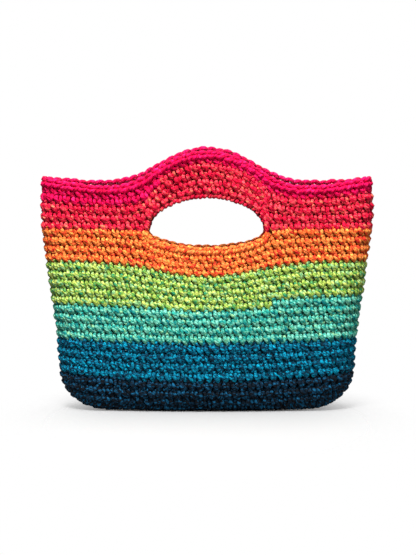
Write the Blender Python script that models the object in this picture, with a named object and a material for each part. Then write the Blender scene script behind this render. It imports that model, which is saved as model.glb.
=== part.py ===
"""A crocheted handbag with hand holes, worked in rounds of single crochet from an oval base.

Seven yarns, one after another, make seven bands. Each yarn's rounds are hooked into the last round
of the yarn below, and each is one object here. The hand holes lie between the orange and the coral
yarn: there the coral rounds start on a loose chain instead of on the orange round, and arch over it.

Units are metres, +Z is up, the front faces -Y, and the origin is at the base's centre on the floor.
A place on the fabric is (line, share): line counts rounds up from the base's starting chain, and
share runs from 0 at a panel's middle to 1 at the bag's side.
"""

import bmesh
import bpy
import numpy as np

# Fabric
WALL = 0.0078
RIDGE = 0.0014
ROUND_HEIGHT = 0.0091
YARN_GAP = 0.0003

# Rounds worked in each yarn, from the base up
NAVY_ROUNDS = 8
BLUE_ROUNDS = 4
TURQUOISE_ROUNDS = 4
GREEN_ROUNDS = 5
ORANGE_ROUNDS = 4
CORAL_ROUNDS = 4
RASPBERRY_ROUNDS = 2

# Base: the curves from its flat part up to the walls, and where the walls start
PANEL_CURVE = 0.022
SIDE_CURVE = 0.036
PANEL_FOOT = 0.0322
SIDE_FOOT = 0.0404

# Half the bag's width, half its depth and its side's radius, each at a few heights
HALF_WIDTHS = ((SIDE_FOOT, 0.1575), (0.0776, 0.1608), (0.156, 0.1717), (0.215, 0.1780), (0.252, 0.1765))
HALF_DEPTHS = ((PANEL_FOOT, 0.0500), (0.0724, 0.0485), (0.107, 0.0425), (0.143, 0.0330), (0.177, 0.0255),
               (0.215, 0.0205), (0.245, 0.0180), (0.282, 0.0165))
SIDE_RADII = ((SIDE_FOOT, 0.040), (0.113, 0.030), (0.195, 0.0175), (0.252, 0.012))
BULGE_POWER = 1.5

# How the rounds run: lifted at the sides of the base, sagging under the hand holes
HOLE_SAG = 0.019
SAG_SPREAD = 0.072
LIFT_FADE = 12
SOFT_SAG_SHARE = 0.2

# Hand holes and rim
HOLE_HALF_WIDTH = 0.0638
HOLE_RISE = 0.0365
HOLE_FLOOR_POWER = 0.42
RIM_DIP = 0.0052
CORNER_RISE = 0.008
ARCH_RISE = 0.0367
ARCH_HALF_WIDTH = 0.105
RIM_ROUNDING = 0.0024
BACK_RISE = 0.004

# Faces: columns in a quarter of a round, over the hand hole and beside it, and rounds between inner lines
HOLE_COLUMNS = 6
SIDE_COLUMNS = 9
SIDE_CROWDING = 1.5
INNER_ROUNDS = 2
OUTLINE_POINTS = 240

BASE_LINES = NAVY_ROUNDS
HOLE_LINE = NAVY_ROUNDS + BLUE_ROUNDS + TURQUOISE_ROUNDS + GREEN_ROUNDS + ORANGE_ROUNDS
RIM_LINE = HOLE_LINE + CORAL_ROUNDS + RASPBERRY_ROUNDS
SAG_START = NAVY_ROUNDS + BLUE_ROUNDS
STEP = 1e-3
SMALLEST = 1e-9


def curve_through(stations, at):
    """A smooth curve through the stations: cubic pieces whose slopes come from the stations beside them."""
    heights, values = np.array(stations).T
    slopes = np.gradient(values, heights)
    at = np.clip(at, heights[0], heights[-1])
    left = np.clip(np.searchsorted(heights, at, side="right") - 1, 0, len(heights) - 2)
    span = heights[left + 1] - heights[left]
    t = (at - heights[left]) / span
    start, end = values[left], values[left + 1]
    rise = span * slopes[left]
    fall = span * slopes[left + 1]
    return (
        (2 * t**3 - 3 * t**2 + 1) * start
        + (t**3 - 2 * t**2 + t) * rise
        + (3 * t**2 - 2 * t**3) * end
        + (t**3 - t**2) * fall
    )


def smooth_step(t):
    """0 below 0, 1 above 1, and an S curve between them."""
    t = np.clip(t, 0.0, 1.0)
    return t * t * (3 - 2 * t)


def foot(travel, flat, radius):
    """How far out and how high a path is that runs flat, then round a quarter circle, then straight up."""
    angle = np.clip((travel - flat) / radius, 0.0, np.pi / 2)
    out = np.minimum(travel, flat) + radius * np.sin(angle)
    climb = np.maximum(travel - flat - radius * np.pi / 2, 0.0)
    return out, radius * (1 - np.cos(angle)) + climb


def side_height(line):
    """Height of a round's line at the bag's side."""
    return SIDE_FOOT + ROUND_HEIGHT * (line - BASE_LINES)


def base_path():
    """Lengths of the flat part and of the whole path from the starting chain to the wall, at a panel's middle."""
    flat = HALF_DEPTHS[0][1] - PANEL_CURVE
    return flat, flat + PANEL_CURVE * np.pi / 2 + PANEL_FOOT - PANEL_CURVE


def base_outline(line):
    """Half width, half depth, side radius, and the heights at the panel and at the side, of a base round."""
    full_width, full_depth, full_radius = HALF_WIDTHS[0][1], HALF_DEPTHS[0][1], SIDE_RADII[0][1]
    panel_flat, travel_up = base_path()
    side_flat = travel_up - SIDE_CURVE * np.pi / 2 - (SIDE_FOOT - SIDE_CURVE)
    travel = travel_up * line / BASE_LINES
    depth, panel_height = foot(travel, panel_flat, PANEL_CURVE)
    reach, side_up = foot(travel, side_flat, SIDE_CURVE)
    chain_half = full_width - side_flat - SIDE_CURVE
    radius = depth * (1 - (1 - full_radius / full_depth) * line / BASE_LINES)
    return chain_half + reach, depth, radius, panel_height, side_up


def outline_point(half_width, half_depth, radius, share):
    """(x, y) on a quarter outline: a bulging panel from the middle, then a round side, at a share of its length."""
    straight = half_width - radius
    along = np.linspace(0.0, 1.0, OUTLINE_POINTS)
    bulge = radius + (half_depth - radius) * (1 - along**2) ** BULGE_POWER
    turn = np.linspace(0.0, np.pi / 2, OUTLINE_POINTS)[1:]
    x = np.concatenate([straight * along, straight + radius * np.sin(turn)])
    y = np.concatenate([bulge, radius * np.cos(turn)])
    length = np.concatenate([[0.0], np.cumsum(np.hypot(np.diff(x), np.diff(y)))])
    at = share * length[-1]
    return np.interp(at, length, x), np.interp(at, length, y)


def sag(x, line):
    """How far a round hangs below its side height, from its place across the panel."""
    depth = HOLE_SAG * smooth_step((line - SAG_START) / (HOLE_LINE - SAG_START))
    orange_start = HOLE_LINE - ORANGE_ROUNDS
    to_hole = (1 - SOFT_SAG_SHARE) * np.clip((line - orange_start) / ORANGE_ROUNDS, 0.0, 1.0)
    soft = np.exp(-((x / SAG_SPREAD) ** 2))
    return depth * (1 - to_hole) * soft, depth * to_hole * hole_shape(x, HOLE_FLOOR_POWER)


def hole_shape(x, power):
    """1 at the hand hole's middle and 0 past its corners."""
    return np.clip(1 - (x / HOLE_HALF_WIDTH) ** 2, 0.0, 1.0) ** power


def rim_height(x, half_width, back):
    """Height of the bag's top edge: an arch over the hand hole, a dip beside it, a raised corner."""
    beside = np.clip((x - ARCH_HALF_WIDTH) / (half_width - ARCH_HALF_WIDTH), 0.0, 1.0)
    arch = 0.5 * (1 + np.cos(np.pi * np.clip(x / ARCH_HALF_WIDTH, 0.0, 1.0)))
    higher = BACK_RISE * back * (1 - (x / half_width) ** 4)
    return side_height(RIM_LINE) - RIM_DIP + CORNER_RISE * beside**2 + ARCH_RISE * arch + higher


def wall_height(x, line, half_width, over_hole, back):
    """Height of a wall round at x. over_hole picks the hand hole's upper edge, not its lower one, at its line."""
    low_line = np.minimum(line, HOLE_LINE)
    soft, sharp = sag(x, low_line)
    lift = (SIDE_FOOT - PANEL_FOOT) * np.clip(1 - (low_line - BASE_LINES) / LIFT_FADE, 0.0, 1.0) ** 1.5
    below = side_height(low_line) - soft - lift * (1 - (x / half_width) ** 2)
    if not over_hole:
        return below - sharp
    edge = below + HOLE_RISE * hole_shape(x, 0.5)
    part = (line - HOLE_LINE) / (RIM_LINE - HOLE_LINE)
    return (1 - part) * edge + part * rim_height(x, half_width, back)


def quarter(line, share, over_hole, back):
    """(x, y, z) of the outer face in one quarter of the bag. back is 1 on its back panel, 0 on its front one."""
    if line < BASE_LINES:
        half_width, half_depth, radius, panel_height, side_up = base_outline(line)
        x, y = outline_point(half_width, half_depth, radius, share)
        z = panel_height + (side_up - panel_height) * (x / half_width) ** 2
        table_depth = curve_through(HALF_DEPTHS, panel_height)
    else:
        half_width = curve_through(HALF_WIDTHS, side_height(line))
        radius = curve_through(SIDE_RADII, side_height(line))
        half_depth = curve_through(HALF_DEPTHS, wall_height(0.0, line, half_width, over_hole, 0))
        x, y = outline_point(half_width, half_depth, radius, share)
        z = wall_height(x, line, half_width, over_hole, back)
        table_depth = half_depth
    bulge = (y - radius) / max(half_depth - radius, SMALLEST)
    narrowed = half_depth * curve_through(HALF_DEPTHS, z) / table_depth
    return x, np.where(y > radius, radius + (narrowed - radius) * bulge, y), z


def outer_point(line, turn, over_hole):
    """Points of the outer face. turn runs from 0 to 4, a quarter of the round at a time, from the front's middle."""
    turn = np.mod(turn, 4.0)
    share = np.where(np.floor(turn) % 2 == 0, turn % 1.0, 1 - turn % 1.0)
    back = np.where((turn > 1) & (turn < 3), 1, 0)
    x, y, z = quarter(line, share, over_hole, back)
    x = np.where(turn < 2, x, -x)
    y = np.where(back == 1, y, -y)
    return np.stack([x, y, z], axis=-1)


def fabric_point(line, turn, depth, over_hole):
    """Points at a depth under the outer face, measured along the face's normal."""
    here = outer_point(line, turn, over_hole)
    if line == 0:
        return here + [0.0, 0.0, depth]
    top = RIM_LINE if over_hole else HOLE_LINE
    upper = min(line + 0.5, top)
    lower = max(line - 0.5, HOLE_LINE if over_hole else 0)
    up = outer_point(upper, turn, over_hole) - outer_point(lower, turn, over_hole)
    along = outer_point(line, turn + STEP, over_hole) - outer_point(line, turn - STEP, over_hole)
    normal = np.cross(along, up)
    normal /= np.linalg.norm(normal, axis=-1, keepdims=True)
    return here - depth * normal


def columns():
    """Places round the bag, one on each corner of a hand hole, crowded at those corners and at the sides."""
    half_width = curve_through(HALF_WIDTHS, side_height(HOLE_LINE))
    radius = curve_through(SIDE_RADII, side_height(HOLE_LINE))
    middle = curve_through(HALF_DEPTHS, wall_height(0.0, HOLE_LINE, half_width, False, 0))
    shares = np.linspace(0.0, 1.0, OUTLINE_POINTS)
    x, _ = outline_point(half_width, middle, radius, shares)
    corner = np.interp(HOLE_HALF_WIDTH, x, shares)
    over = corner * np.sin(np.linspace(0.0, np.pi / 2, HOLE_COLUMNS + 1))
    beside = 1 - (1 - corner) * np.linspace(1.0, 0.0, SIDE_COLUMNS + 1)[1:] ** SIDE_CROWDING
    first = np.concatenate([over, beside])
    return np.concatenate([first[:-1], (2 - first[::-1])[:-1], (2 + first)[:-1], (4 - first[::-1])])


def face_profile(low, high):
    """(line, depth) up a band's outer face: grooves between rounds, but none on what stands on the floor."""
    gap = YARN_GAP / 2 / ROUND_HEIGHT
    flat, path = base_path()
    standing = BASE_LINES * flat / path
    lines = np.arange(low, high + 0.25, 0.5)
    between = lines % 1.0 == 0
    lines, between = lines[between | (lines > standing)], between[between | (lines > standing)]
    depths = np.where(between & (lines > standing), RIDGE, 0.0)
    lines[0] += gap if low else 0.0
    lines[-1] -= gap if high < RIM_LINE else 0.0
    return [(float(line), float(depth)) for line, depth in zip(lines, depths)]


def rounded_rim():
    """(line, depth) over the bag's top edge, from its outer face to its inner face."""
    low = RIM_LINE - RIM_ROUNDING / ROUND_HEIGHT
    return [(low, 0.0), (RIM_LINE, RIM_ROUNDING), (RIM_LINE, WALL - RIM_ROUNDING), (low, WALL)]


def band(name, low, high, over_hole, colour):
    """One yarn's rounds as a closed solid: a grid bent round the bag, up its outer face and down its inner one."""
    profile = face_profile(low, high)
    if high == RIM_LINE:
        profile = profile[:-1] + rounded_rim()
    else:
        profile.append((profile[-1][0], WALL))
    steps = INNER_ROUNDS if low else 1
    profile += [(float(line), WALL) for line in range(high - steps, low, -steps)]
    profile.append((profile[0][0], WALL))
    around = columns()

    mesh = bpy.data.meshes.new(name)
    bent = bmesh.new()
    rows = len(profile) if low else len(profile) - 1
    bmesh.ops.create_grid(bent, x_segments=len(around) - 1, y_segments=rows, size=1.0)
    bent.verts.ensure_lookup_table()
    places = np.array([vertex.co for vertex in bent.verts])
    column = np.rint((places[:, 0] + 1) / 2 * (len(around) - 1)).astype(int)
    row = np.rint((places[:, 1] + 1) / 2 * rows).astype(int) % len(profile)
    for index, (line, depth) in enumerate(profile):
        chosen = np.nonzero(row == index)[0]
        for vertex, point in zip(chosen, fabric_point(line, around[column[chosen]], depth, over_hole)):
            bent.verts[vertex].co = point
    bmesh.ops.remove_doubles(bent, verts=bent.verts, dist=1e-6)
    bmesh.ops.dissolve_degenerate(bent, edges=bent.edges, dist=1e-6)
    bmesh.ops.triangulate(bent, faces=bent.faces, quad_method="SHORT_EDGE")
    bmesh.ops.recalc_face_normals(bent, faces=bent.faces)
    bent.to_mesh(mesh)
    bent.free()

    mesh.shade_smooth()
    mesh.set_sharp_from_angle(angle=np.radians(50))
    mesh.materials.append(yarn(name, colour))
    obj = bpy.data.objects.new(name, mesh)
    bag.objects.link(obj)


def yarn(name, colour):
    """Matt marled yarn."""
    material = bpy.data.materials.new(name)
    material.use_nodes = True
    shader = material.node_tree.nodes["Principled BSDF"]
    shader.inputs["Base Color"].default_value = (*colour, 1.0)
    shader.inputs["Roughness"].default_value = 0.85
    shader.inputs["Metallic"].default_value = 0.0
    return material


for old in list(bpy.data.objects):
    bpy.data.objects.remove(old)
bag = bpy.data.collections.new("crocheted_handbag")
bpy.context.scene.collection.children.link(bag)

YARNS = (
    ("navy_base", NAVY_ROUNDS, (0.005, 0.020, 0.045)),
    ("blue_band", BLUE_ROUNDS, (0.006, 0.120, 0.215)),
    ("turquoise_band", TURQUOISE_ROUNDS, (0.10, 0.42, 0.34)),
    ("green_band", GREEN_ROUNDS, (0.36, 0.46, 0.13)),
    ("orange_band", ORANGE_ROUNDS, (0.80, 0.21, 0.045)),
    ("coral_handles", CORAL_ROUNDS, (0.66, 0.045, 0.085)),
    ("raspberry_rim", RASPBERRY_ROUNDS, (0.75, 0.008, 0.13)),
)
start = 0
for yarn_name, rounds, yarn_colour in YARNS:
    band(yarn_name, start, start + rounds, start >= HOLE_LINE, yarn_colour)
    start += rounds
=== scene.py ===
"""Looks of a crocheted handbag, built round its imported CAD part.

The bag is made as the real one is: seven marled yarns, each worked stitch by stitch in rounds of single
crochet from the oval base up to the rim. Units are metres, +Z is up, the front faces -Y.
"""

import bpy
import numpy as np
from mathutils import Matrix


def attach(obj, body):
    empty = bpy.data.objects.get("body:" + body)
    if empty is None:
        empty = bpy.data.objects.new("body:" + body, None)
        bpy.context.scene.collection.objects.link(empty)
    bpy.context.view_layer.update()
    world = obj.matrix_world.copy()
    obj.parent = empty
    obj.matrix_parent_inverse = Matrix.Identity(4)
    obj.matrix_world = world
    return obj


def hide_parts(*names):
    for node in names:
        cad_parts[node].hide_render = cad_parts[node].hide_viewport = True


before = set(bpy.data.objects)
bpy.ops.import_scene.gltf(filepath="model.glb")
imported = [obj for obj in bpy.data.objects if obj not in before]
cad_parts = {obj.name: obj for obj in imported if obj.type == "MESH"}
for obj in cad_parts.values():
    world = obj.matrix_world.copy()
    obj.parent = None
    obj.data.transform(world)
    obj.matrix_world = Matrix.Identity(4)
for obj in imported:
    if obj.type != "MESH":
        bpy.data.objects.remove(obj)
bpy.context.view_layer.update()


# Navy yarn: the starting chain, the oval base and the bag's foot.
# A thick three-ply yarn, marled navy with mid-blue plies, worked in eight rounds that turn up from the
# floor into the walls. Everything above hangs on it.

# The fabric's outer face, the same one that the CAD bands fill: a place on it is (line, turn), where line
# counts rounds up from the starting chain and turn runs from 0 to 4 round the bag from the front's middle.
ROUND_HEIGHT = 0.0091
NAVY_ROUNDS = 8
BLUE_ROUNDS = 4
TURQUOISE_ROUNDS = 4
GREEN_ROUNDS = 5
ORANGE_ROUNDS = 4
HOLE_LINE = NAVY_ROUNDS + BLUE_ROUNDS + TURQUOISE_ROUNDS + GREEN_ROUNDS + ORANGE_ROUNDS
RIM_LINE = HOLE_LINE + 6
SAG_START = NAVY_ROUNDS + BLUE_ROUNDS

# The fabric turns up from the floor in a quarter ellipse, and reaches the first blue round at the foot
# heights. FLAT_POWER keeps the panels' lower edges on the floor out towards the sides.
PANEL_CURVE = 0.022
SIDE_CURVE = 0.0404
SIDE_REACH = 0.0515
FLAT_POWER = 6.0
PANEL_FOOT = 0.0322
SIDE_FOOT = 0.0404

# Smooth curves run through these (height, value) pairs.
HALF_WIDTHS = ((SIDE_FOOT, 0.1575), (0.0776, 0.1608), (0.156, 0.1717), (0.215, 0.1780), (0.252, 0.1765))
HALF_DEPTHS = ((PANEL_FOOT, 0.0500), (0.0724, 0.0485), (0.107, 0.0425), (0.143, 0.0330), (0.177, 0.0255),
               (0.215, 0.0205), (0.245, 0.0180), (0.282, 0.0165))
SIDE_RADII = ((SIDE_FOOT, 0.040), (0.113, 0.030), (0.195, 0.0175), (0.252, 0.012))
BULGE_POWER = 1.5
OUTLINE_STEPS = 240

# The rounds sag towards the hand hole, and the rim arches over it, dips beside it and rises at the corners.
HOLE_SAG = 0.0205
SAG_SPREAD = 0.072
LIFT_FADE = 12
LIFT_POWER = 1.5
SOFT_SAG_SHARE = 0.2
HOLE_HALF_WIDTH = 0.0638
HOLE_RISE = 0.0338
HOLE_FLOOR_POWER = 0.42
HOLE_ROOF_POWER = 0.5
RIM_DIP = 0.0052
CORNER_RISE = 0.008
ARCH_RISE = 0.0367
ARCH_HALF_WIDTH = 0.105
BACK_RISE = 0.004
FRONT_SLACK = 0.0027
SLACK_START = 0.03


def curve_through(stations, at):
    """A smooth curve through the stations: cubic pieces whose slopes come from the stations beside them."""
    heights, values = np.array(stations).T
    slopes = np.gradient(values, heights)
    at = np.clip(at, heights[0], heights[-1])
    left = np.clip(np.searchsorted(heights, at, side="right") - 1, 0, len(heights) - 2)
    span = heights[left + 1] - heights[left]
    t = (at - heights[left]) / span
    start, end = values[left], values[left + 1]
    bend = t * (1 - t) * ((1 - t) * span * slopes[left] - t * span * slopes[left + 1])
    return start + (end - start) * t * t * (3 - 2 * t) + bend


def smooth_step(t):
    """0 below 0, 1 above 1, and an S curve between them."""
    t = np.clip(t, 0.0, 1.0)
    return t * t * (3 - 2 * t)


def foot(travel, flat, reach, rise):
    """How far out and how high a path is that runs flat, then up a quarter ellipse of this reach and rise,
    then straight up. The quarter's length is taken as pi / 4 times reach plus rise."""
    bend = np.pi / 4 * (reach + rise)
    angle = np.clip((travel - flat) / bend, 0.0, 1.0) * np.pi / 2
    out = np.minimum(travel, flat) + reach * np.sin(angle)
    return out, rise * (1 - np.cos(angle)) + np.maximum(travel - flat - bend, 0.0)


def side_height(line):
    """Height of a round's line at the bag's side."""
    return SIDE_FOOT + ROUND_HEIGHT * (line - NAVY_ROUNDS)


def base_outline(line):
    """A base round's half width, half depth, side radius, and heights at the panel and at the side. The two
    paths up from the floor, at panel and side, take the same number of rounds."""
    full_width, full_depth, full_radius = HALF_WIDTHS[0][1], HALF_DEPTHS[0][1], SIDE_RADII[0][1]
    panel_flat = full_depth - PANEL_CURVE
    travel_up = panel_flat + PANEL_CURVE * np.pi / 2 + PANEL_FOOT - PANEL_CURVE
    side_flat = travel_up - np.pi / 4 * (SIDE_REACH + SIDE_CURVE) - (SIDE_FOOT - SIDE_CURVE)
    travel = travel_up * line / NAVY_ROUNDS
    depth, panel_height = foot(travel, panel_flat, PANEL_CURVE, PANEL_CURVE)
    reach, side_up = foot(travel, side_flat, SIDE_REACH, SIDE_CURVE)
    chain_half = full_width - side_flat - SIDE_REACH
    radius = depth * (1 - (1 - full_radius / full_depth) * line / NAVY_ROUNDS)
    return chain_half + reach, depth, radius, panel_height, side_up


def hole_shape(x, power):
    """1 at the hand hole's middle and 0 past its corners."""
    return np.clip(1 - (x / HOLE_HALF_WIDTH) ** 2, 0.0, 1.0) ** power


def rim_height(x, half_width, back):
    """Height of the bag's top edge: an arch over the hand hole, a dip beside it, a raised corner. The front
    edge hangs slack between arch and corner, so that the back one shows above it."""
    beside = np.clip((x - ARCH_HALF_WIDTH) / (half_width - ARCH_HALF_WIDTH), 0.0, 1.0)
    arch = 0.5 * (1 + np.cos(np.pi * np.clip(x / ARCH_HALF_WIDTH, 0.0, 1.0)))
    higher = BACK_RISE * back * (1 - (x / half_width) ** 4)
    between = np.clip((x - SLACK_START) / (half_width - SLACK_START), 0.0, 1.0)
    slack = FRONT_SLACK * (1 - back) * np.sin(np.pi * between) ** 2
    return side_height(RIM_LINE) - RIM_DIP + CORNER_RISE * beside**2 + ARCH_RISE * arch + higher - slack


def wall_height(x, line, half_width, over_hole, back):
    """Height of a wall round at x: its side height, less its sag towards the hand hole. over_hole takes the
    hole's upper edge, not its lower one, as the hole's line, and blends from it to the rim."""
    low = np.minimum(line, HOLE_LINE)
    depth = HOLE_SAG * smooth_step((low - SAG_START) / (HOLE_LINE - SAG_START))
    to_hole = (1 - SOFT_SAG_SHARE) * np.clip((low - HOLE_LINE + ORANGE_ROUNDS) / ORANGE_ROUNDS, 0.0, 1.0)
    soft = depth * (1 - to_hole) * np.exp(-((x / SAG_SPREAD) ** 2))
    lift = (SIDE_FOOT - PANEL_FOOT) * np.clip(1 - (low - NAVY_ROUNDS) / LIFT_FADE, 0.0, 1.0) ** LIFT_POWER
    below = side_height(low) - soft - lift * (1 - (x / half_width) ** 2)
    if not over_hole:
        return below - depth * to_hole * hole_shape(x, HOLE_FLOOR_POWER)
    part = (line - HOLE_LINE) / (RIM_LINE - HOLE_LINE)
    edge = below + HOLE_RISE * hole_shape(x, HOLE_ROOF_POWER)
    return (1 - part) * edge + part * rim_height(x, half_width, back)


def outline_point(half_width, half_depth, radius, share):
    """(x, y) on a quarter outline, a bulging panel and then a round side, at a share of its length. The
    bulge is 1 less the square of the share of the straight part, to a power."""
    straight = half_width - radius
    along = np.linspace(0.0, 1.0, OUTLINE_STEPS)
    bulge = radius + (half_depth - radius) * (1 - along**2) ** BULGE_POWER
    turn = np.linspace(0.0, np.pi / 2, OUTLINE_STEPS)[1:]
    x = np.concatenate([straight * along, straight + radius * np.sin(turn)])
    y = np.concatenate([bulge, radius * np.cos(turn)])
    length = np.concatenate([[0.0], np.cumsum(np.hypot(np.diff(x), np.diff(y)))])
    return np.interp(share * length[-1], length, x), np.interp(share * length[-1], length, y)


def outer_points(line, turn, over_hole):
    """Points of the outer face along one line, at the given turns."""
    share = np.where(np.floor(turn) % 2 == 0, turn % 1.0, 1 - turn % 1.0)
    back = (turn > 1) & (turn < 3)
    if line < NAVY_ROUNDS:
        half_width, half_depth, radius, panel_height, side_up = base_outline(line)
        x, y = outline_point(half_width, half_depth, radius, share)
        power = 2 + FLAT_POWER * (1 - line / NAVY_ROUNDS)
        z = panel_height + (side_up - panel_height) * (x / half_width) ** power
        table_depth = curve_through(HALF_DEPTHS, panel_height)
    else:
        half_width = curve_through(HALF_WIDTHS, side_height(line))
        radius = curve_through(SIDE_RADII, side_height(line))
        half_depth = curve_through(HALF_DEPTHS, wall_height(0.0, line, half_width, over_hole, 0))
        x, y = outline_point(half_width, half_depth, radius, share)
        z = wall_height(x, line, half_width, over_hole, back)
        table_depth = half_depth
    bulge = (y - radius) / max(half_depth - radius, 1e-9)
    narrowed = half_depth * curve_through(HALF_DEPTHS, z) / table_depth
    y = np.where(y > radius, radius + (narrowed - radius) * bulge, y)
    return np.stack([np.where(turn < 2, x, -x), np.where(back, y, -y), z], axis=-1)


PLACES_ROUND = 1440
LINE_STEP = 0.25
SLOPE_SPAN = 4
SMOOTH_SPAN = 6


def face(first, last, over_hole):
    """The outer face as a grid: points, outward normals and directions round the bag, a row to a line, each
    row spaced evenly along its own length. Normals are the cross product of the grid's two directions,
    summed over the neighbours along the row."""
    turns = np.linspace(0.0, 4.0, PLACES_ROUND + 1)
    rows = []
    for line in np.arange(first, last + LINE_STEP / 2, LINE_STEP):
        row = outer_points(line, turns, over_hole)
        length = np.concatenate([[0.0], np.cumsum(np.linalg.norm(np.diff(row, axis=0), axis=1))])
        even = np.linspace(0.0, length[-1], PLACES_ROUND + 1)[:-1]
        rows.append(np.stack([np.interp(even, length, row[:, axis]) for axis in range(3)], axis=-1))
    points = np.array(rows)
    along = np.roll(points, -SLOPE_SPAN, axis=1) - np.roll(points, SLOPE_SPAN, axis=1)
    along /= np.linalg.norm(along, axis=-1, keepdims=True)
    up = np.gradient(points, axis=0)
    normals = np.cross(along, up)
    normals /= np.linalg.norm(normals, axis=-1, keepdims=True)
    smooth = sum(np.roll(normals, step, axis=1) for step in range(-SMOOTH_SPAN, SMOOTH_SPAN + 1))
    return {"first": first, "points": points, "normals": unit(smooth), "along": along}


def unit(vectors):
    """The same directions at length 1."""
    return vectors / np.linalg.norm(vectors, axis=-1, keepdims=True)


def on_face(grid, line, share):
    """Point, normal and direction round the bag at each (line, share), blended from the grid's four corners
    round it. Past the grid's first and last line it goes on in a straight line."""
    rows, columns = grid["points"].shape[:2]
    at = (line - grid["first"]) / LINE_STEP
    row = np.clip(np.floor(at).astype(int), 0, rows - 2)
    up = (at - row)[:, None]
    place = np.mod(share, 1.0) * columns
    column = np.floor(place).astype(int) % columns
    on = (place - np.floor(place))[:, None]
    after = (column + 1) % columns

    def blended(values, up):
        low = values[row, column] * (1 - on) + values[row, after] * on
        high = values[row + 1, column] * (1 - on) + values[row + 1, after] * on
        return low * (1 - up) + high * up

    inside = np.clip(up, 0.0, 1.0)
    point = blended(grid["points"], up)
    return point, unit(blended(grid["normals"], inside)), unit(blended(grid["along"], inside))


WALLS = face(0, HOLE_LINE, False)

# One single crochet as its yarn runs, in order: (stitch widths to the right, rounds up, mm in from the
# fabric's face, yarn radius in mm). It comes down the back and through the round below to the front, up the
# short right lobe, in and over, down the long left lobe to the point where both meet, and through to the
# back again. There it goes up, over to the front as the knob above the left lobe, and back behind to the
# next stitch. A dark hole is left in the notch between the lobes.
SINGLE_CROCHET = (
    (0.50, 0.50, 6.1, 2.05), (0.26, 0.05, 6.0, 1.9), (0.20, -0.18, 4.6, 1.3), (0.18, -0.03, 2.9, 1.3),
    (0.19, 0.21, 1.5, 1.6), (0.25, 0.50, 0.5, 2.25), (0.20, 0.76, 2.1, 1.9), (-0.02, 0.72, 4.0, 1.6),
    (-0.25, 0.80, 1.9, 2.0), (-0.30, 0.56, 0.3, 2.45), (-0.14, 0.30, 0.4, 2.1), (0.07, 0.00, 2.1, 1.5),
    (0.13, -0.20, 4.6, 1.3), (0.04, 0.10, 6.2, 1.95), (0.10, 0.60, 6.4, 2.0), (0.06, 0.92, 5.8, 1.85),
    (-0.12, 1.02, 3.9, 1.6), (-0.31, 1.05, 1.5, 2.1), (-0.49, 0.98, 2.6, 1.8), (-0.66, 0.90, 4.8, 1.8),
    (-0.90, 0.88, 6.4, 2.05), (-0.60, 0.88, 7.0, 2.05), (-0.20, 0.86, 6.8, 2.05),
)
MM = 0.001
STITCH_WIDTH = 0.0089
STITCH_POINTS = 26
CURVE_STEPS = 40

# A radian of bend counts as this many mm of yarn when the points are shared out.
BEND_WEIGHT = 2.2
PLUMPNESS = 1.05
STITCHES_ROUND = 84

# Each round ends at the seam, this share of the way round. Its stitches sit DRIFT of a stitch past those
# of the round below.
SEAM = 0.56
DRIFT = 0.28

# How far hand-made unevenness moves the yarn, in metres, and how much it changes the radius.
WOBBLE = 0.0004
UNEVEN_RADIUS = 0.06

# Painted shade: the yarn's colour is darkened, as if in shadow, where it lies within the reach below (mm) of
# the depth below (mm in from the face) and is thinner than THICK.
PAINTED_SHADE_DEPTH = 4.2
PAINTED_SHADE_REACH = 2.4
PAINTED_SHADE_EDGE = 1.15
THICK = 0.00226
THICK_FADE = 0.00015


def curve_of(stitch, points=STITCH_POINTS):
    """The stitch as this many points on a smooth curve through its rows, closest together where it bends.
    Each cubic piece leaves a row along the line between its neighbours, and the last row leads on to the
    next stitch's first, one width to the left."""
    rows = np.array(stitch)
    count = len(rows)
    turns = np.arange(-1, count + 2)
    padded = rows[turns % count] - (turns // count)[:, None] * np.array([1.0, 0.0, 0.0, 0.0])
    at = np.linspace(0, count, CURVE_STEPS * count + 1)[:-1]
    piece = np.floor(at).astype(int)
    t = (at - piece)[:, None]
    before, start, end, after = (padded[piece + step] for step in range(4))
    dense = (
        (2 * t**3 - 3 * t**2 + 1) * start
        + (t**3 - 2 * t**2 + t) * (end - before) / 2
        + (3 * t**2 - 2 * t**3) * end
        + (t**3 - t**2) * (after - start) / 2
    )
    place = dense[:, :3] * [STITCH_WIDTH / MM, ROUND_HEIGHT / MM, 1.0]
    place = np.vstack([place, place[0] - [STITCH_WIDTH / MM, 0.0, 0.0]])
    steps = np.diff(place, axis=0)
    heading = unit(steps)
    bend = np.arccos(np.clip(np.einsum("ij,ij->i", heading, np.roll(heading, 1, axis=0)), -1.0, 1.0))
    measure = np.concatenate([[0.0], np.cumsum(np.linalg.norm(steps, axis=1) + BEND_WEIGHT * bend)])
    chosen = np.linspace(0.0, measure[-1], points + 1)[:-1]
    places = np.interp(chosen, measure[:-1], np.arange(len(dense)))
    low = np.floor(places).astype(int)
    share = (places - low)[:, None]
    return dense[low] * (1 - share) + dense[np.minimum(low + 1, len(dense) - 1)] * share


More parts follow.
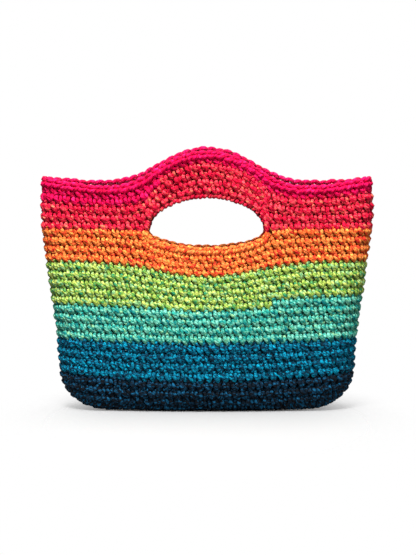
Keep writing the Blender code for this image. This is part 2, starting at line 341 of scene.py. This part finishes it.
def worked(grid, low, high, stitches, first=0, count=None, shape=None, drift=0.0):
    """A run of stitches in one round, worked from right to left: the yarn's centre line and its radius.
    low and high give the round's lower and upper line at a share of the way round; shape gives each
    stitch's own curve where some differ. Nothing goes below the floor: there the yarn is pressed flat. The
    last result is a painted-shade mask: 1 where the yarn is thin and deep in the fabric, so its colour is
    then darkened as if in shadow, and 0 where it is open to light."""
    count = stitches if count is None else count
    index = first + np.arange(count)
    share = SEAM + (drift - index) / stitches
    curves = curve_of(SINGLE_CROCHET)[None] if shape is None else shape(share)
    points = curves.shape[1]
    curves = np.broadcast_to(curves, (count, points, 4))
    across, rise, depth, radius = (curves[..., part].ravel() for part in range(4))
    place = np.repeat(share, points) + across / stitches
    bottom, top = low(place), high(place)
    line = bottom + rise * (top - bottom)
    point, normal, along = on_face(grid, line, place)
    noise = uneven(len(place), count)
    up = np.cross(normal, along)
    centre = point - normal * (depth[:, None] * MM)
    moved = along * noise[0][:, None] + up * noise[1][:, None] - normal * noise[2][:, None]
    centre = centre + moved * WOBBLE
    radius = radius * MM * PLUMPNESS * (1 + UNEVEN_RADIUS * noise[3])
    centre[:, 2] = np.maximum(centre[:, 2], radius)
    # Painted shade: thin yarn near the set depth in the fabric is marked to have its colour darkened as if
    # shadowed.
    deep = smooth_step(PAINTED_SHADE_EDGE - np.abs(depth - PAINTED_SHADE_DEPTH) / PAINTED_SHADE_REACH)
    thin = smooth_step((THICK - radius) / THICK_FADE)
    return centre, radius, deep * thin


def uneven(points, stitches):
    """Hand-made unevenness: four random wanderings along a run of yarn, a new value each third of a
    stitch and straight lines between them."""
    knots = rng.normal(size=(4, 3 * stitches + 2))
    at = np.linspace(0, knots.shape[1] - 1, points)
    return np.array([np.interp(at, np.arange(knots.shape[1]), row) for row in knots])


rng = np.random.default_rng(7)
YARN_SIDES = 6
BREAK = 0.03


def sweep(name, runs, material):
    """A yarn as a six-sided tube: a ring round each point of its centre line, in the plane across it. Each
    ring's first side is turned as little as possible from the ring before it. No faces bridge a step of the
    centre line longer than BREAK, so one piece can hold several lengths."""
    centre = np.concatenate([run[0] for run in runs])
    radius = np.concatenate([run[1] for run in runs])
    painted_shade_mask = np.concatenate([run[2] for run in runs])
    tangent = unit(np.gradient(centre, axis=0))
    side = turned_least(tangent)
    other = np.cross(tangent, side)
    angle = np.arange(YARN_SIDES) * 2 * np.pi / YARN_SIDES
    ring = side[:, None] * np.cos(angle)[None, :, None] + other[:, None] * np.sin(angle)[None, :, None]
    points = centre[:, None] + ring * radius[:, None, None]
    rings = len(centre)
    step = np.arange(YARN_SIDES)
    after = (step + 1) % YARN_SIDES
    start = np.arange(rings - 1)[:, None] * YARN_SIDES
    bridged = np.linalg.norm(np.diff(centre, axis=0), axis=1) < BREAK
    ahead = start + YARN_SIDES
    quads = np.stack([start + step, start + after, ahead + after, ahead + step], -1)[bridged]
    mesh = bpy.data.meshes.new(name)
    mesh.vertices.add(rings * YARN_SIDES)
    mesh.vertices.foreach_set("co", points.astype(np.float32).ravel())
    loops = quads.reshape(-1)
    mesh.loops.add(len(loops) + 2 * YARN_SIDES)
    ends = np.concatenate([step[::-1], (rings - 1) * YARN_SIDES + step])
    mesh.loops.foreach_set("vertex_index", np.concatenate([loops, ends]).astype(np.int32))
    faces = len(loops) // 4
    mesh.polygons.add(faces + 2)
    starts = np.concatenate([np.arange(faces) * 4, len(loops) + np.array([0, YARN_SIDES])])
    mesh.polygons.foreach_set("loop_start", starts.astype(np.int32))
    mesh.update(calc_edges=True)
    map_yarn(mesh, centre, bridged)
    mesh.polygons.foreach_set("use_smooth", np.ones(faces + 2, bool))
    # Painted shade: each point carries how far its colour is darkened, as if shadowed deep in the fabric.
    shade = mesh.attributes.new("painted_shade_mask", "FLOAT", "POINT")
    shade.data.foreach_set("value", np.repeat(painted_shade_mask, YARN_SIDES).astype(np.float32))
    mesh.materials.append(material)
    mesh.validate()
    piece = bpy.data.objects.new(name, mesh)
    bpy.context.scene.collection.objects.link(piece)
    return piece


CELL_SHAPE = 2.2
CELL_FILL = 0.94


def map_yarn(mesh, centre, bridged):
    """Adds a tube's two maps. One says where a face lies on the yarn, for the plies: its share of the way
    round, and metres along. The other gives each face a cell of its own for baking, in rows of cells."""
    rings = len(centre)
    step = np.arange(YARN_SIDES)
    length = np.concatenate([[0.0], np.cumsum(np.linalg.norm(np.diff(centre, axis=0), axis=1))])
    across = np.stack([step, step + 1, step + 1, step], -1) / YARN_SIDES
    across = np.broadcast_to(across, (rings - 1, YARN_SIDES, 4))
    here, there = length[:-1, None], length[1:, None]
    ahead = np.stack([np.repeat(v, YARN_SIDES, 1) for v in (here, here, there, there)], -1)
    rest = np.zeros((2 * YARN_SIDES, 2))
    yarn_uv = np.concatenate([np.stack([across, ahead], -1)[bridged].reshape(-1, 2), rest])
    per_row = int(np.ceil(np.sqrt((rings - 1) * YARN_SIDES / CELL_SHAPE)))
    shelves = int(np.ceil((rings - 1) / per_row))
    index = np.arange(rings - 1)
    left = (index % per_row)[:, None, None] / per_row
    low = (index // per_row)[:, None, None] / shelves
    columns = np.array([0.0, 0.0, 1.0, 1.0])[None, None, :] / per_row
    bake_u = np.broadcast_to(left + columns, across.shape)
    bake_v = low + across / shelves * CELL_FILL
    bake_uv = np.concatenate([np.stack([bake_u, bake_v], -1)[bridged].reshape(-1, 2), rest])
    for label, values in (("OFBake", bake_uv), ("yarn", yarn_uv)):
        layer = mesh.uv_layers.new(name=label)
        layer.data.foreach_set("uv", values.astype(np.float32).ravel())


def turned_least(tangent):
    """A side direction for each ring, carried along the yarn: each step turns it by the same least turn
    that takes one tangent to the next."""
    before, after = tangent[:-1], tangent[1:]
    axis = np.cross(before, after)
    cosine = np.einsum("ij,ij->i", before, after)
    across = np.zeros((len(axis), 3, 3))
    across[:, 0, 1], across[:, 0, 2] = -axis[:, 2], axis[:, 1]
    across[:, 1, 0], across[:, 1, 2] = axis[:, 2], -axis[:, 0]
    across[:, 2, 0], across[:, 2, 1] = -axis[:, 1], axis[:, 0]
    step = np.eye(3) + across + across @ across / (1 + cosine)[:, None, None]
    side = np.empty_like(tangent)
    start = np.cross(tangent[0], [0.3, 0.2, 0.9])
    side[0] = start / np.linalg.norm(start)
    for index, turn in enumerate(step):
        side[index + 1] = turn @ side[index]
    side -= tangent * np.einsum("ij,ij->i", side, tangent)[:, None]
    return unit(side)


def linear(code):
    """A colour's #rrggbb code as linear red, green, blue and alpha."""
    srgb = np.array([int(code[place : place + 2], 16) for place in (1, 3, 5)]) / 255
    channels = np.where(srgb <= 0.04045, srgb / 12.92, ((srgb + 0.055) / 1.055) ** 2.4)
    return (*channels, 1.0)


def node(tree, kind, inputs=(), **settings):
    """Adds a node. settings are its own properties; inputs are its sockets' values, or the outputs that
    feed them."""
    made = tree.nodes.new("ShaderNode" + kind)
    for name, value in settings.items():
        setattr(made, name, value)
    for name, value in dict(inputs).items():
        if isinstance(value, bpy.types.NodeSocket):
            tree.links.new(value, made.inputs[name])
        else:
            made.inputs[name].default_value = value
    return made


# Lengths along the yarn are in metres: one turn of the plies and one fleck of dye.
PLIES = 3.0
PLY_TURN = 0.013
PLY_SEED = 17.3
FLECK = 0.0048
FINE_FLECK = 0.0022
DYE_SPREAD = 0.17
TWEED_SPREAD = 0.1
FIBRES_ACROSS = 5.0
FIBRES_ALONG = 260.0
FIBRE_HEIGHT = 0.35
RELIEF = 0.0007
# Painted shade: the ply grooves have their colour darkened to this tone, over this share of each ply.
GROOVE_WIDTH = 0.5
GROOVE_SHADE_TONE = 0.5
# Painted shade: yarn deep in the fabric has its colour darkened to this tone, the tweedy yarns to the
# lighter one.
PAINTED_SHADE_TONE = 0.02
TWEED_SHADE_TONE = 0.3


def marled(name, colours, seed, shade=0.45, fleck=FLECK, spread=DYE_SPREAD, gap=PAINTED_SHADE_TONE):
    """Three plies twisted together, each dyed in short runs of several colours. The eye gets coloured
    flecks, fine streaks along the fibres, grooves between the plies in relief and with painted shade, and
    painted shade in the gaps between the stitches. A small spread makes the flecks' edges sharp, and gap is
    how light the painted shade leaves the gaps."""
    material = bpy.data.materials.new(name)
    material.use_nodes = True
    tree = material.node_tree
    shader = tree.nodes["Principled BSDF"]
    place = node(tree, "UVMap", uv_map="yarn")
    parts = node(tree, "SeparateXYZ", {0: place.outputs[0]})
    twist = node(tree, "Math", {0: parts.outputs[1], 1: PLIES / PLY_TURN}, operation="MULTIPLY")
    turned = {0: parts.outputs[0], 1: PLIES, 2: twist.outputs[0]}
    helix = node(tree, "Math", turned, operation="MULTIPLY_ADD")
    ply = node(tree, "Math", {0: helix.outputs[0]}, operation="FLOOR")
    third = node(tree, "Math", {0: ply.outputs[0], 1: PLIES}, operation="FLOORED_MODULO")
    which = node(tree, "Math", {0: third.outputs[0], 1: PLY_SEED, 2: seed}, operation="MULTIPLY_ADD")
    run = node(tree, "Math", {0: parts.outputs[1], 1: 1 / fleck}, operation="MULTIPLY")
    dye_at = node(tree, "CombineXYZ", {0: run.outputs[0], 1: which.outputs[0]})
    patches = {"Vector": dye_at.outputs[0], "Scale": 1.0, "Detail": 2.0, "Roughness": 0.6}
    dye = node(tree, "TexNoise", patches)
    stretched = node(tree, "MapRange", {0: dye.outputs[0], 1: 0.5 - spread, 2: 0.5 + spread})
    ramp = node(tree, "ValToRGB", {0: stretched.outputs[0]})
    stops = ramp.color_ramp.elements
    while len(stops) < len(colours):
        stops.new(0.5)
    for stop, (position, code) in zip(stops, colours):
        stop.position = position
        stop.color = linear(code)
    fibre_across = node(tree, "Math", {0: helix.outputs[0], 1: FIBRES_ACROSS}, operation="MULTIPLY")
    fibre_run = node(tree, "Math", {0: parts.outputs[1], 1: FIBRES_ALONG}, operation="MULTIPLY")
    fibre_at = node(tree, "CombineXYZ", {0: fibre_across.outputs[0], 1: fibre_run.outputs[0], 2: seed})
    fibre = node(tree, "TexNoise", {"Vector": fibre_at.outputs[0], "Scale": 1.0, "Detail": 2.0})
    streak = node(tree, "MapRange", {0: fibre.outputs[0], 1: 0.3, 2: 0.7, 3: 1 - shade, 4: 1 + shade})
    within = node(tree, "Math", {0: helix.outputs[0]}, operation="FRACT")
    centred = node(tree, "Math", {0: within.outputs[0], 1: 0.5}, operation="SUBTRACT")
    square = node(tree, "Math", {0: centred.outputs[0], 1: centred.outputs[0]}, operation="MULTIPLY")
    ply_height = node(tree, "Math", {0: square.outputs[0], 1: -4.0, 2: 1.0}, operation="MULTIPLY_ADD")
    # Painted shade: the colour is darkened in the grooves between the plies.
    groove_shade = node(tree, "MapRange", {0: ply_height.outputs[0], 2: GROOVE_WIDTH, 3: GROOVE_SHADE_TONE})
    # Painted shade: yarn marked as deep in the fabric is darkened towards the gap tone, as if in shadow.
    painted_shade_mask = node(tree, "Attribute", attribute_name="painted_shade_mask")
    gap_shade = node(tree, "MapRange", {0: painted_shade_mask.outputs["Fac"], 3: 1.0, 4: gap})
    seen = node(tree, "Math", {0: streak.outputs[0], 1: groove_shade.outputs[0]}, operation="MULTIPLY")
    tone = node(tree, "Math", {0: seen.outputs[0], 1: gap_shade.outputs[0]}, operation="MULTIPLY")
    grey = node(tree, "CombineColor", {0: tone.outputs[0], 1: tone.outputs[0], 2: tone.outputs[0]})
    layers = {0: 1.0, 6: ramp.outputs[0], 7: grey.outputs[0]}
    colour = node(tree, "Mix", layers, data_type="RGBA", blend_type="MULTIPLY")
    raised = {0: fibre.outputs[0], 1: FIBRE_HEIGHT, 2: ply_height.outputs[0]}
    height = node(tree, "Math", raised, operation="MULTIPLY_ADD")
    relief = node(tree, "Bump", {"Strength": 0.7, "Distance": RELIEF, "Height": height.outputs[0]})
    tree.links.new(colour.outputs[2], shader.inputs["Base Color"])
    tree.links.new(relief.outputs[0], shader.inputs["Normal"])
    shader.inputs["Roughness"].default_value = 0.8
    shader.inputs["Specular IOR Level"].default_value = 0.12
    return material


def level(line):
    """A round's edge that keeps to one line of the fabric."""
    return lambda share: np.full_like(share, float(line))


def wall_round(row, stitches=STITCHES_ROUND, **part):
    """One round between two level lines of the base or the walls. part is what worked takes for only some
    of its stitches, or for stitches of another shape."""
    return worked(WALLS, level(row), level(row + 1), stitches, drift=DRIFT * row, **part)


def stitches_to(share, row):
    """How many of a round's stitches lie between the seam and this share of the way round."""
    return int(round((SEAM - share) * STITCHES_ROUND + DRIFT * row))


def dress(piece, node_name):
    """Ties a piece to the bag, in place of its CAD node."""
    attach(piece, "root")
    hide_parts(node_name)


def perimeter(grid, line):
    """Length of a line round the bag."""
    row = grid["points"][int(round((line - grid["first"]) / LINE_STEP))]
    return np.linalg.norm(row - np.roll(row, 1, axis=0), axis=1).sum()


CORD_STEP = 0.0011
CORD_SWAY = 0.0011
CORD_RISE = 0.0010
CORD_HEIGHT = 0.0032
CORD_RADIUS = 0.0020


def starting_chain():
    """The chain that the base is worked round: a cord along the middle of the underside, which turns twice
    in a stitch's width."""
    half = base_outline(0)[0]
    along = np.linspace(half, -half, int(2 * half / CORD_STEP))
    turn = along / STITCH_WIDTH * 4 * np.pi
    centre = np.stack([along, CORD_SWAY * np.sin(turn), CORD_HEIGHT + CORD_RISE * np.cos(turn)], axis=-1)
    return centre, np.full(len(along), CORD_RADIUS), np.zeros(len(along))


NAVY = ((0.0, "#01040A"), (0.3, "#020C16"), (0.5, "#041A2A"), (0.72, "#08344E"), (1.0, "#0E5072"))
runs = [starting_chain()]
for row in range(NAVY_ROUNDS):
    stitches = min(int(perimeter(WALLS, row + 0.5) / STITCH_WIDTH), STITCHES_ROUND)
    runs.append(wall_round(row, stitches))
navy_dye = marled("navy marled yarn", NAVY, 1.7, 0.85, FINE_FLECK, TWEED_SPREAD, TWEED_SHADE_TONE)
navy = sweep("navy_base_yarn", runs, navy_dye)
dress(navy, "navy_base")


# Blue yarn: four rounds hooked into the last navy one.
# Deep teal blue marled with bright blue, the same weight as the navy and as finely tweedy.
BLUE = ((0.0, "#002434"), (0.26, "#003E58"), (0.46, "#005A78"), (0.68, "#007898"), (1.0, "#008EAE"))
blue_start = NAVY_ROUNDS
runs = [wall_round(row) for row in range(blue_start, blue_start + BLUE_ROUNDS)]
blue_dye = marled("blue marled yarn", BLUE, 33.1, 0.8, FINE_FLECK, TWEED_SPREAD, TWEED_SHADE_TONE)
blue = sweep("blue_band_yarn", runs, blue_dye)
dress(blue, "blue_band")


# Turquoise yarn: four rounds and part of a fifth, up to where the green is joined on the front.
# Pale mint, sea green and teal plies, so it looks lighter and more broken up than the blue.
TURQUOISE = (
    (0.0, "#0C6A70"), (0.22, "#148C88"), (0.42, "#34AA94"),
    (0.62, "#86D6BE"), (0.8, "#1E967E"), (1.0, "#A0DCA4"),
)
turquoise_start = blue_start + BLUE_ROUNDS
green_start = turquoise_start + TURQUOISE_ROUNDS
TURQUOISE_END = 0.092
turquoise_change = stitches_to(TURQUOISE_END, green_start)
runs = [wall_round(row) for row in range(turquoise_start, green_start)]
runs.append(wall_round(green_start, count=turquoise_change))
turquoise = sweep("turquoise_band_yarn", runs, marled("turquoise marled yarn", TURQUOISE, 59.4))
dress(turquoise, "turquoise_band")


# Green yarn: the rest of that round and four more.
# Lime yellow, pale green and moss plies with a teal one here and there.
GREEN = (
    (0.0, "#308E64"), (0.22, "#5E9C44"), (0.42, "#A2C04E"),
    (0.56, "#CCD86C"), (0.72, "#AAD488"), (1.0, "#4C9464"),
)
runs = [wall_round(green_start, first=turquoise_change, count=STITCHES_ROUND - turquoise_change)]
runs += [wall_round(row) for row in range(green_start + 1, green_start + GREEN_ROUNDS)]
green = sweep("green_band_yarn", runs, marled("green marled yarn", GREEN, 88.2))
dress(green, "green_band")


# Orange yarn: four rounds. The last one's top is free along the lower edge of both hand holes.
# Warm orange marled with yellow-orange and red-coral. The free tops lean out and lie on the face as a braid
# of two strands.
FREE_TOP = (
    (0.60, 0.25, 5.8, 1.9), (0.24, -0.10, 5.3, 1.8), (0.20, -0.24, 3.9, 1.5), (0.24, -0.08, 2.6, 1.7),
    (0.30, 0.12, 2.4, 1.9), (0.30, 0.28, 2.9, 1.9), (0.04, 0.46, 4.7, 1.8), (-0.34, 0.30, 3.2, 1.9),
    (-0.17, 0.12, 2.2, 2.0), (0.10, -0.08, 2.3, 1.8), (0.16, -0.22, 4.2, 1.5), (0.02, 0.05, 5.7, 1.9),
    (0.10, 0.36, 5.6, 1.8), (0.16, 0.46, 3.8, 1.8), (0.06, 0.44, 1.8, 2.0), (-0.30, 0.28, 0.7, 2.3),
    (-0.75, 0.20, 0.6, 2.4), (-1.10, 0.30, 1.7, 2.0), (-1.22, 0.48, 3.2, 1.7), (-1.12, 0.68, 2.6, 1.9),
    (-0.75, 0.74, 1.6, 2.3), (-0.28, 0.62, 1.6, 2.3), (0.05, 0.50, 3.0, 1.9), (0.06, 0.36, 5.4, 1.8),
)
TOP_POINTS = 36
ORANGE = (
    (0.0, "#CC2024"), (0.25, "#EA4C2A"), (0.45, "#FA7430"),
    (0.62, "#FFA650"), (0.78, "#F05C38"), (1.0, "#FFC85A"),
)
orange_start = green_start + GREEN_ROUNDS


def along_the_hole(share):
    """Each stitch's curve in the last orange round: free-topped where the round's top is the hole's edge."""
    x = on_face(WALLS, np.full(len(share), float(HOLE_LINE)), share - 0.4 / STITCHES_ROUND)[0][:, 0]
    free = (np.abs(x) < HOLE_HALF_WIDTH)[:, None, None]
    return np.where(free, curve_of(FREE_TOP, TOP_POINTS), curve_of(SINGLE_CROCHET, TOP_POINTS))


runs = [wall_round(row) for row in range(orange_start, HOLE_LINE - 1)]
runs.append(wall_round(HOLE_LINE - 1, shape=along_the_hole))
orange = sweep("orange_band_yarn", runs, marled("orange marled yarn", ORANGE, 121.9))
dress(orange, "orange_band")


# Coral yarn: three rounds and most of a fourth. Over each hand hole the first is worked into a loose chain,
# a twisted cord that is the hole's upper edge.
# Coral red marled with salmon.
UPPER = face(HOLE_LINE, RIM_LINE, True)

# The first round starts COVER of a round below the orange's top, or CHAIN_STRIP above the hole's edge.
CHAIN_STRIP = 0.62
COVER = 0.4
STRIP_POWER = 0.4
UPPER_ROWS = 5
ROW_TOP = 30.05
CHAIN = (
    (0.500, -0.17, 2.7, 2.05), (0.375, -0.27, 1.7, 2.05), (0.250, -0.37, 2.7, 2.05),
    (0.125, -0.27, 3.7, 2.05), (0.000, -0.17, 2.7, 2.05), (-0.125, -0.27, 1.7, 2.05),
    (-0.250, -0.37, 2.7, 2.05), (-0.375, -0.27, 3.7, 2.05),
)
CHAIN_POINTS = 20
HOLE_SHARE = 0.086
CORAL = (
    (0.0, "#B0042A"), (0.25, "#DA0A36"), (0.5, "#EE1A44"),
    (0.66, "#FC5A60"), (0.82, "#E20E3A"), (1.0, "#F67E62"),
)


def hole_share(share):
    """1 at the middle of a hand hole's upper edge, falling to 0 at its corners."""
    x = on_face(UPPER, np.full(len(share), float(HOLE_LINE)), share)[0][:, 0]
    return hole_shape(x, STRIP_POWER)


def upper_edge(row):
    """The line under an upper round: an even share of the way from the first round's start to ROW_TOP. The
    start lies above the chain over a hand hole."""
    def edge(share):
        start = HOLE_LINE - COVER + (COVER + CHAIN_STRIP) * hole_share(share)
        return start + (ROW_TOP - start) * row / UPPER_ROWS
    return edge


def upper_round(row, **part):
    """One round, whole or in part, above the hand holes."""
    drift = DRIFT * (HOLE_LINE + row)
    return worked(UPPER, upper_edge(row), upper_edge(row + 1), STITCHES_ROUND, drift=drift, **part)


def loose_chain(middle):
    """The chain along the upper edge of the hand hole whose middle is at this share of the way round. Its
    yarn thins towards the hole's corners."""
    start = stitches_to(middle + HOLE_SHARE, HOLE_LINE)
    count = int(round(2 * HOLE_SHARE * STITCHES_ROUND))

    def twisted(share):
        curves = np.repeat(curve_of(CHAIN, CHAIN_POINTS)[None], count, axis=0)
        curves[..., 3] *= 0.5 + 0.5 * hole_share(share)[:, None]
        return curves
    return upper_round(0, first=start, count=count, shape=twisted)


CORAL_END = -0.072
CHANGE_ROW = 3
coral_change = stitches_to(CORAL_END, HOLE_LINE + CHANGE_ROW)
runs = [loose_chain(0.5), loose_chain(0.0)]
runs += [upper_round(row) for row in range(CHANGE_ROW)]
runs.append(upper_round(CHANGE_ROW, count=coral_change))
coral = sweep("coral_handles_yarn", runs, marled("coral marled yarn", CORAL, 150.6))
dress(coral, "coral_handles")


# Raspberry yarn: the rest of that round and the last one, whose free tops are the rim.
# One pink-red all through, so its plies show by their shade alone. The rim's braid is its loosest, fattest
# part.
RIM_TOP = (
    (0.60, 0.45, 5.8, 1.9), (0.24, 0.00, 5.3, 1.8), (0.20, -0.14, 3.6, 1.5), (0.24, 0.10, 2.1, 1.7),
    (0.31, 0.38, 2.0, 2.0), (0.32, 0.66, 2.9, 1.95), (0.04, 0.92, 4.7, 1.8), (-0.38, 0.68, 3.0, 2.0),
    (-0.18, 0.34, 1.7, 2.2), (0.10, -0.02, 2.0, 1.7), (0.16, -0.17, 3.9, 1.5), (0.02, 0.20, 5.7, 1.9),
    (0.10, 0.80, 5.6, 1.8), (0.16, 1.02, 3.8, 1.8), (0.06, 1.02, 1.6, 2.0), (-0.30, 0.86, 0.4, 2.4),
    (-0.75, 0.78, 0.3, 2.5), (-1.10, 0.90, 1.5, 2.1), (-1.22, 1.10, 3.2, 1.8), (-1.12, 1.32, 2.5, 2.0),
    (-0.75, 1.38, 1.3, 2.5), (-0.28, 1.24, 1.3, 2.4), (0.05, 1.10, 2.9, 1.9), (0.06, 0.92, 5.4, 1.8),
)
RASPBERRY = ((0.0, "#B80034"), (0.4, "#E00048"), (0.6, "#F40056"), (1.0, "#FF2272"))
rim_top = curve_of(RIM_TOP, TOP_POINTS)[None]
runs = [
    upper_round(CHANGE_ROW, first=coral_change, count=STITCHES_ROUND - coral_change),
    upper_round(CHANGE_ROW + 1, shape=lambda share: rim_top),
]
raspberry = sweep("raspberry_rim_yarn", runs, marled("raspberry yarn", RASPBERRY, 190.3))
dress(raspberry, "raspberry_rim")


# Floor and backdrop: a seamless white studio sweep of matt paper.
# Only a soft shadow under the bag shows on it: the paper fades out into plain white all round.
OVAL = (0.24, 0.38)
OVAL_SHIFT = 0.12
FLOOR_HALF = 0.6


def plain(name, code, roughness):
    """One even colour."""
    material = bpy.data.materials.new(name)
    material.use_nodes = True
    shader = material.node_tree.nodes["Principled BSDF"]
    shader.inputs["Base Color"].default_value = linear(code)
    shader.inputs["Roughness"].default_value = roughness
    return material


def paper(name, code, near):
    """Matt paper that fades into the white backdrop, and is clear from below. The fade runs with the
    distance from a point OVAL_SHIFT in front of the bag, in shares of the half axes OVAL, from near to 1."""
    material = plain(name, code, 0.9)
    tree = material.node_tree
    place = node(tree, "TexCoord")
    shift = {0: place.outputs["Object"], 1: (0.0, OVAL_SHIFT, 0.0)}
    moved = node(tree, "VectorMath", shift, operation="ADD")
    oval = node(tree, "VectorMath", {0: moved.outputs[0], 1: (*OVAL, 1.0)}, operation="DIVIDE")
    away = node(tree, "VectorMath", {0: oval.outputs[0]}, operation="LENGTH")
    reach = {0: away.outputs["Value"], 1: near, 2: 1.0}
    fade = node(tree, "MapRange", reach, interpolation_type="SMOOTHSTEP")
    side = node(tree, "NewGeometry")
    unseen = node(tree, "Math", {0: fade.outputs[0], 1: side.outputs["Backfacing"]}, operation="MAXIMUM")
    clear = node(tree, "BsdfTransparent")
    shown = tree.nodes["Principled BSDF"].outputs[0]
    mixed = node(tree, "MixShader", {0: unseen.outputs[0], 1: shown, 2: clear.outputs[0]})
    tree.links.new(mixed.outputs[0], tree.nodes["Material Output"].inputs[0])
    return material


floor_mesh = bpy.data.meshes.new("studio_floor")
corners = [(x * FLOOR_HALF, y * FLOOR_HALF, 0.0) for x, y in ((-1, -1), (1, -1), (1, 1), (-1, 1))]
floor_mesh.from_pydata(corners, [], [(0, 1, 2, 3)])
floor_mesh.materials.append(paper("white studio paper", "#A8A8A8", 0.32))
floor = bpy.data.objects.new("studio_floor", floor_mesh)
bpy.context.scene.collection.objects.link(floor)

world = bpy.data.worlds.new("studio")
bpy.context.scene.world = world
world.use_nodes = True
tree = world.node_tree
tree.nodes.clear()
path = node(tree, "LightPath")
camera_ray = path.outputs["Is Camera Ray"]
glossy_ray = path.outputs["Is Glossy Ray"]
clear_ray = path.outputs["Is Transmission Ray"]
seen = node(tree, "Math", {0: camera_ray, 1: glossy_ray}, operation="MAXIMUM")
any_seen = node(tree, "Math", {0: seen.outputs[0], 1: clear_ray}, operation="MAXIMUM")
lighting = node(tree, "Background", {"Color": (1.0, 1.0, 1.0, 1.0), "Strength": 0.2})
white = node(tree, "Background", {"Color": (1.0, 1.0, 1.0, 1.0), "Strength": 1.0})
mixed = node(tree, "MixShader", {0: any_seen.outputs[0], 1: lighting.outputs[0], 2: white.outputs[0]})
node(tree, "OutputWorld", {0: mixed.outputs[0]})


# Lights: three soft boxes, as in a product photo.
# The key is steep above the front and a little left, so that each row's ridge catches it and the gaps stay
# dark. The fill is low at the front right, and the top light is above and behind.
def soft_box(name, place, aim, size, power):
    """A square area light at place, turned to face aim."""
    light = bpy.data.lights.new(name, "AREA")
    light.shape = "SQUARE"
    light.size = size
    light.energy = power
    lamp = bpy.data.objects.new(name, light)
    bpy.context.scene.collection.objects.link(lamp)
    lamp.location = place
    towards = np.array(aim) - np.array(place)
    turn = np.arctan2(towards[1], towards[0])
    lamp.rotation_euler = (np.arctan2(np.hypot(*towards[:2]), -towards[2]), 0.0, turn - np.pi / 2)
    return lamp


BAG_MIDDLE = (0, 0, 0.12)
soft_box("key_light", (-0.25, -0.95, 2.0), BAG_MIDDLE, 0.7, 78)
soft_box("fill_light", (0.6, -1.9, 0.9), BAG_MIDDLE, 1.4, 8)
soft_box("top_light", (0.0, 0.35, 1.7), BAG_MIDDLE, 1.3, 25)


# Camera: in front of the bag and a little above its middle, as in the photo.
# It stands far enough back that the panel looks flat. PICTURE_HEIGHT is what the picture spans at the bag.
PICTURE_HEIGHT = 0.5976
DISTANCE = 2.2
CAMERA_HEIGHT = 0.29
CAMERA_SIDE = 0.0012
AIM_HEIGHT = 0.14
SENSOR = 36.0
camera_data = bpy.data.cameras.new("camera")
camera = bpy.data.objects.new("camera", camera_data)
bpy.context.scene.collection.objects.link(camera)
bpy.context.scene.camera = camera
camera.location = (CAMERA_SIDE, -DISTANCE, CAMERA_HEIGHT)
camera.rotation_euler = (np.pi / 2 - np.arctan2(CAMERA_HEIGHT - AIM_HEIGHT, DISTANCE), 0.0, 0.0)
camera_data.sensor_fit = "VERTICAL"
camera_data.sensor_height = SENSOR
camera_data.lens = SENSOR * DISTANCE / PICTURE_HEIGHT
camera_data.clip_start = 0.01
camera_data.clip_end = 40.0
camera_data.dof.use_dof = False
scene = bpy.context.scene
scene.view_settings.view_transform = "Standard"
